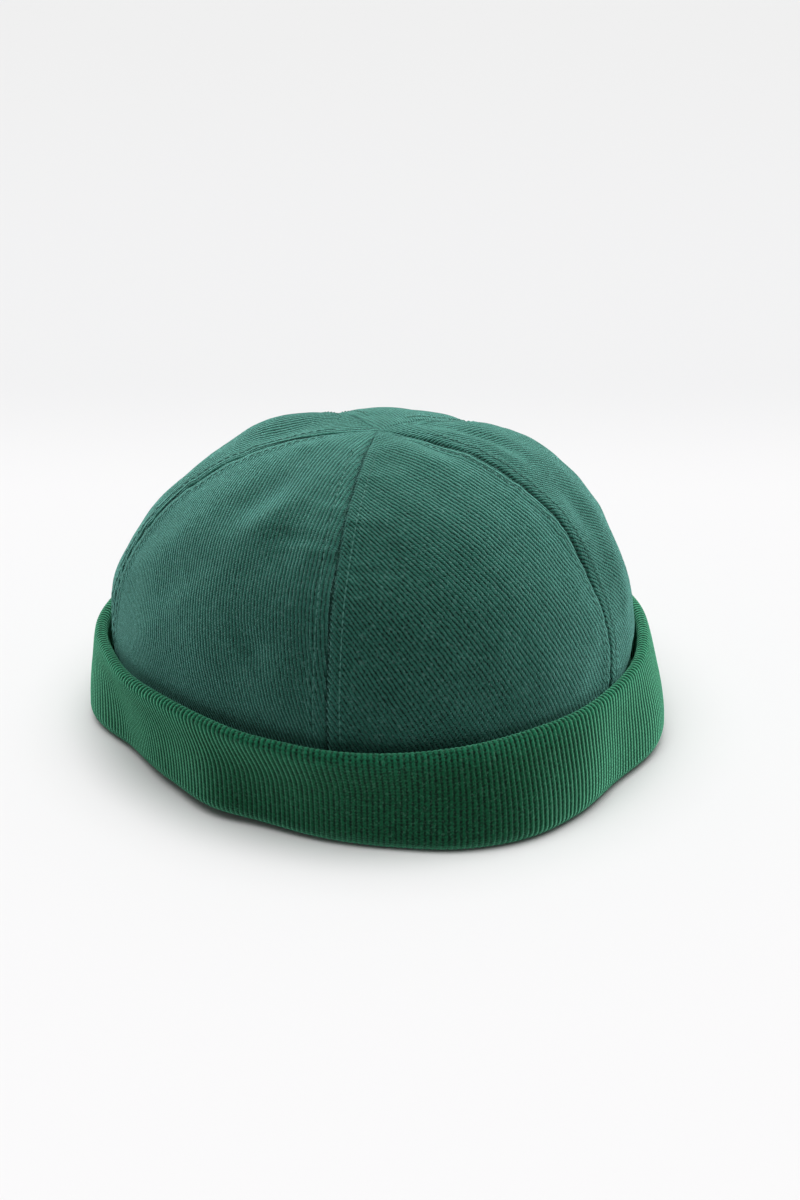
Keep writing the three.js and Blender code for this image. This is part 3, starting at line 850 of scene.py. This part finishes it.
def brushedTwill(twill, nap):
    look = twillLook
    material, tree, shader = newMaterial("brushedTwill")
    weave = useGroup(tree, twill, {
        "Cloth": uvNode(tree, "clothWay"),
        "Pitch": look["pitch"],
        "Lean": look["lean"],
        "Unevenness": look["unevenness"],
    })
    brushed = useGroup(tree, nap, {"Place": placeNode(tree)})
    patches = keepShare(tree, addMath(tree, "MULTIPLY_ADD", brushed["Patches"], *look["patches"]))
    fuzz = keepShare(tree, addMath(tree, "MULTIPLY_ADD", brushed["Fuzz"], *look["fuzz"]))
    colour = mixShare(tree, patches, look["patchShare"], look["cloth"], look["nap"])
    colour = mixShare(tree, fuzz, look["fuzzShare"], colour, look["nap"])
    # the twill's diagonal lines are painted dark towards the valley colour: painted shade in the weave's
    # valleys, thinned where the nap hides them
    depth, between = look["lines"]
    lines = addMath(tree, "SUBTRACT", 1.0, weave["Ridges"])
    ground = addMath(tree, "MULTIPLY_ADD", fuzz, look["hiding"], between)
    lines = addMath(tree, "MULTIPLY_ADD", lines, depth, ground)
    shown = addMath(tree, "MULTIPLY_ADD", patches, look["hiding"], 1.0)
    lines = keepShare(tree, addMath(tree, "MULTIPLY", lines, shown))
    colour = addMix(tree, "RGBA", lines, colour, look["valley"])
    # seams: painted shade, dark in the fold itself and fading away from it; and worn paler on the
    # doubled edge
    fromSeam = splitUp(tree, uvNode(tree, "seamWay"))[0]
    seamShadeMask = addMath(tree, "MULTIPLY_ADD", fromSeam, look["seamShadeFade"], 1.0)
    seamShadeMask = addMath(tree, "MAXIMUM", seamShadeMask, 0.0)
    colour = mixShare(tree, seamShadeMask, look["seamShadeShare"], colour, look["valley"])
    fromWear = addMath(tree, "SUBTRACT", fromSeam, look["wearAt"])
    fromWear = addMath(tree, "MULTIPLY", fromWear, look["wearFade"])
    onEdge = addMath(tree, "SUBTRACT", 1.0, addMath(tree, "ABSOLUTE", fromWear))
    onEdge = addMath(tree, "MAXIMUM", onEdge, 0.0)
    colour = mixShare(tree, onEdge, look["wearShare"], colour, look["nap"])
    colour = mixShare(tree, brushed["Lint"], look["lintShare"], colour, look["lint"])
    height = addMath(tree, "MULTIPLY_ADD", brushed["Fuzz"], look["fuzzHeight"], weave["Height"])
    finishCloth(tree, shader, look, colour, height)
    return material


knitLook = {
    "rib": (0.0036, 0.07, 0.0268),
    # near-black colour of the ground between ribs and of the gaps between loops: painted shade
    "valley": (0.0006, 0.007, 0.003),
    "nap": (0.0075, 0.104, 0.0485),
    "lint": (0.08, 0.24, 0.15),
    # paler colour over the top of the roll: a painted highlight
    "rollHighlight": (0.012, 0.16, 0.078),
    "patches": (2.0, -0.7),
    "patchShare": 0.35,
    "fuzz": (2.4, -1.2),
    # the roll's painted highlight is placed by the next three values
    "rollWay": 33.0,           # where the roll is along the knit, and how far the paler knit reaches
    "rollReach": 9.0,
    "rollHighlightShare": 0.85,
    # loops, ribs and the ground between ribs are shaded towards the valley colour: painted shade in the
    # knit's recesses
    "loopShade": 0.35,         # how much lighter a loop is than the gap beside it
    "ribShade": 0.65,          # how light a rib is before that, and the ground between two ribs
    "groundShade": 0.0,
    "lintShare": 0.25,
    "fuzzHeight": 0.3,
    "bump": 0.4,
    "bumpDistance": 0.3 * mm,
    "sheen": 0.9,
    "sheenRoughness": 0.42,
    "sheenTint": (0.27, 1.0, 0.62),
    "roughness": 0.92,
    "specular": 0.1,
}


def ribKnit(knit, nap):
    look = knitLook
    material, tree, shader = newMaterial("ribKnit")
    loops = useGroup(tree, knit, {"Knit": uvNode(tree, "knitWay")})
    brushed = useGroup(tree, nap, {"Place": placeNode(tree)})
    patches = keepShare(tree, addMath(tree, "MULTIPLY_ADD", brushed["Patches"], *look["patches"]))
    yarn = mixShare(tree, patches, look["patchShare"], look["rib"], look["nap"])
    # the knit over the roll is painted paler: a painted highlight on the roll's top
    way = splitUp(tree, uvNode(tree, "knitWay"))[1]
    roll = addMath(tree, "ABSOLUTE", addMath(tree, "SUBTRACT", way, look["rollWay"]))
    roll = addMath(tree, "MULTIPLY_ADD", roll, -1 / look["rollReach"], 1.0)
    roll = addMath(tree, "MAXIMUM", roll, 0.0)
    yarn = mixShare(tree, roll, look["rollHighlightShare"], yarn, look["rollHighlight"])
    # painted shade: the ground between two ribs and the gaps between loops go dark towards the valley
    # colour
    ground = addMath(tree, "MULTIPLY_ADD", loops["Loops"], look["loopShade"], look["groundShade"])
    raised = addMath(tree, "MULTIPLY_ADD", loops["Loops"], look["loopShade"], look["ribShade"])
    shade = addMix(tree, "FLOAT", loops["Rib"], ground, raised)
    fuzz = addMath(tree, "MULTIPLY_ADD", brushed["Fuzz"], *look["fuzz"])
    shown = keepShare(tree, addMath(tree, "ADD", shade, fuzz))
    colour = addMix(tree, "RGBA", shown, look["valley"], yarn)
    colour = mixShare(tree, brushed["Lint"], look["lintShare"], colour, look["lint"])
    height = addMath(tree, "MULTIPLY_ADD", brushed["Fuzz"], look["fuzzHeight"], loops["Height"])
    finishCloth(tree, shader, look, colour, height)
    return material


threadLook = {
    "thread": (0.1, 0.3, 0.245),
    "dark": (0.02, 0.085, 0.065),
    "twistSize": 2200.0,
    "roughness": 0.7,
    "specular": 0.2,
}


def sewingThread():
    look = threadLook
    material, tree, shader = newMaterial("sewingThread")
    twist = addNoise(tree, placeNode(tree), look["twistSize"])
    feed(tree, shader.inputs["Base Color"], addMix(tree, "RGBA", twist, look["dark"], look["thread"]))
    shader.inputs["Roughness"].default_value = look["roughness"]
    shader.inputs["Specular IOR Level"].default_value = look["specular"]
    return material


def toFrame(pieces):
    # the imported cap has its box's middle at the origin, so the new pieces move by the same amount
    points = []
    for piece in pieces:
        flat = np.empty(len(piece.data.vertices) * 3, "f")
        piece.data.vertices.foreach_get("co", flat)
        points.append(flat.reshape(-1, 3))
    together = np.concatenate([p for p, piece in zip(points, pieces) if piece.name == "ribCuff"])
    low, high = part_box("rib_cuff")
    shift = np.array([(low[0] + high[0]) / 2, (low[1] + high[1]) / 2, 0])
    shift[:2] -= ((together.min(0) + together.max(0)) / 2)[:2]
    for piece, flat in zip(pieces, points):
        piece.data.vertices.foreach_set("co", (flat + shift).ravel().astype("f"))
        piece.data.update()
    return shift


print("making the crown")
crownPieces = [makePanel(index) for index in range(len(panels))]
print("making the cuff")
cuffPiece = makeCuff()
print("making the topstitching")
stitchPieces = [makeStitches(index) for index in range(len(seams))]
shift = toFrame(crownPieces + [cuffPiece] + stitchPieces)

print("making the materials")
brushedNap = napGroup()
twillMaterial = brushedTwill(twillWeaveGroup(), brushedNap)
knitMaterial = ribKnit(knitGroup(), brushedNap)
threadMaterial = sewingThread()
for panel, piece in zip(panels, crownPieces):
    piece.data.materials.append(twillMaterial)
    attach(piece, "root")
    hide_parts(panel["node"])
cuffPiece.data.materials.append(knitMaterial)
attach(cuffPiece, "root")
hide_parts("rib_cuff")
for piece in stitchPieces:
    piece.data.materials.append(threadMaterial)
    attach(piece, "root")

# Studio

studio = {
    "cameraAzimuth": 9.5,
    "cameraElevation": 25.0,
    "cameraDistance": 0.9,
    "lens": 77.76,             # 36 mm frame, for a picture of 800 by 1200
    "aimAcross": 8.7 * mm,     # the camera's aim, from the cap's middle, across and away from it
    "aimAway": -11 * mm,
    "aimHeight": 52 * mm,
    "surface": (0.84, 0.835, 0.84),
    "surfaceSize": 12.0,
    "surfaceRoughness": 0.8,
    # the floor's grey far behind the cap, from and to distances away from the camera's side in metres:
    # painted shade
    "backdrop": [(0.2, 0.36, (0.775, 0.775, 0.78)), (0.4, 1.2, (0.755, 0.755, 0.755))],
    "worldStrength": 0.22,
    "worldSeen": 0.93,         # how bright the room looks, which lights nothing
    # name, what it lights, azimuth from the front seam, elevation, softness in degrees, strength
    "lights": [
        ("surfaceLight", "surface", 0, 88, 70, 2.1),
        ("topLight", "all", 10, 78, 60, 0.85),
        ("backHighLight", "cap", 183, 60, 70, 0.7),
        ("backLowLight", "cap", 183, 28, 60, 0.8),
        ("rightLight", "cap", 118, 46, 55, 1.4),
        ("leftLight", "cap", -110, 46, 55, 0.6),
        ("leftBackLight", "cap", -150, 34, 50, 2.3),
        ("rightBackLight", "cap", 142, 34, 50, 2.3),
    ],
}


def makeCamera():
    turn = math.radians(studio["cameraAzimuth"])
    tilt = math.radians(studio["cameraElevation"])
    across = Vector((math.cos(turn), math.sin(turn), 0))
    away = Vector((-math.sin(turn), math.cos(turn), 0))
    aim = across * studio["aimAcross"] + away * studio["aimAway"] + Vector((0, 0, studio["aimHeight"]))
    aim += Vector(shift.tolist())
    back = away * -math.cos(tilt) + Vector((0, 0, math.sin(tilt)))
    data = bpy.data.cameras.new("camera")
    data.lens = studio["lens"]
    data.sensor_width = 36
    data.clip_start = 0.05
    camera = bpy.data.objects.new("camera", data)
    camera.location = aim + back * studio["cameraDistance"]
    camera.rotation_euler = (-back).to_track_quat("-Z", "Y").to_euler()
    bpy.context.scene.collection.objects.link(camera)
    bpy.context.scene.camera = camera
    return away


def makeSurface(away):
    # pale floor, painted a little greyer far behind the cap: painted shade, as on a backdrop that curves
    # up
    material, tree, shader = newMaterial("paleSurface")
    behind = tree.nodes.new("ShaderNodeVectorMath")
    behind.operation = "DOT_PRODUCT"
    tree.links.new(placeNode(tree), behind.inputs[0])
    behind.inputs[1].default_value = away
    colour = studio["surface"]
    for near, far, paint in studio["backdrop"]:
        share = tree.nodes.new("ShaderNodeMapRange")
        share.interpolation_type = "SMOOTHSTEP"
        share.inputs["From Min"].default_value = near
        share.inputs["From Max"].default_value = far
        tree.links.new(behind.outputs["Value"], share.inputs["Value"])
        colour = addMix(tree, "RGBA", share.outputs["Result"], colour, paint)
    tree.links.new(colour, shader.inputs["Base Color"])
    shader.inputs["Roughness"].default_value = studio["surfaceRoughness"]
    shader.inputs["Specular IOR Level"].default_value = 0.0
    bpy.ops.mesh.primitive_plane_add(size=studio["surfaceSize"], location=(0, 0, 0))
    floor = bpy.context.object
    floor.name = "surface"
    floor.data.materials.append(material)
    floor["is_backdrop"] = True
    return floor


def makeReceivers(floor):
    lit = {}
    for name, pieces in (("surface", [floor]), ("cap", crownPieces + [cuffPiece] + stitchPieces)):
        lit[name] = bpy.data.collections.new(name + "Lit")
        for piece in pieces:
            lit[name].objects.link(piece)
    return lit


def makeLight(name, lit, azimuth, elevation, softness, strength):
    # soft far light; one that lights only the cap throws no shadow on the floor
    turn, tilt = math.radians(azimuth), math.radians(elevation)
    back = Vector((math.sin(turn) * math.cos(tilt), -math.cos(turn) * math.cos(tilt), math.sin(tilt)))
    data = bpy.data.lights.new(name, "SUN")
    data.energy = strength
    data.angle = math.radians(softness)
    light = bpy.data.objects.new(name, data)
    light.location = back
    light.rotation_euler = (-back).to_track_quat("-Z", "Y").to_euler()
    if lit in receivers:
        light.light_linking.receiver_collection = receivers[lit]
    bpy.context.scene.collection.objects.link(light)


def makeWorld():
    world = bpy.data.worlds.new("paleRoom")
    world.use_nodes = True
    background = world.node_tree.nodes["Background"]
    background.inputs["Color"].default_value = (1, 1, 1, 1)
    seen = world.node_tree.nodes.new("ShaderNodeLightPath").outputs["Is Camera Ray"]
    more = studio["worldSeen"] - studio["worldStrength"]
    strength = addMath(world.node_tree, "MULTIPLY_ADD", seen, more, studio["worldStrength"])
    world.node_tree.links.new(strength, background.inputs["Strength"])
    bpy.context.scene.world = world


print("making the studio")
away = makeCamera()
receivers = makeReceivers(makeSurface(away))
makeWorld()
for light in studio["lights"]:
    makeLight(*light)
bpy.context.scene.view_settings.view_transform = "Standard"

sceneLow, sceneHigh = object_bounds()
for label, size in (("solids", cadHigh - cadLow), ("scene", sceneHigh - sceneLow)):
    print("size of the", label, [round(value / mm, 1) for value in size])
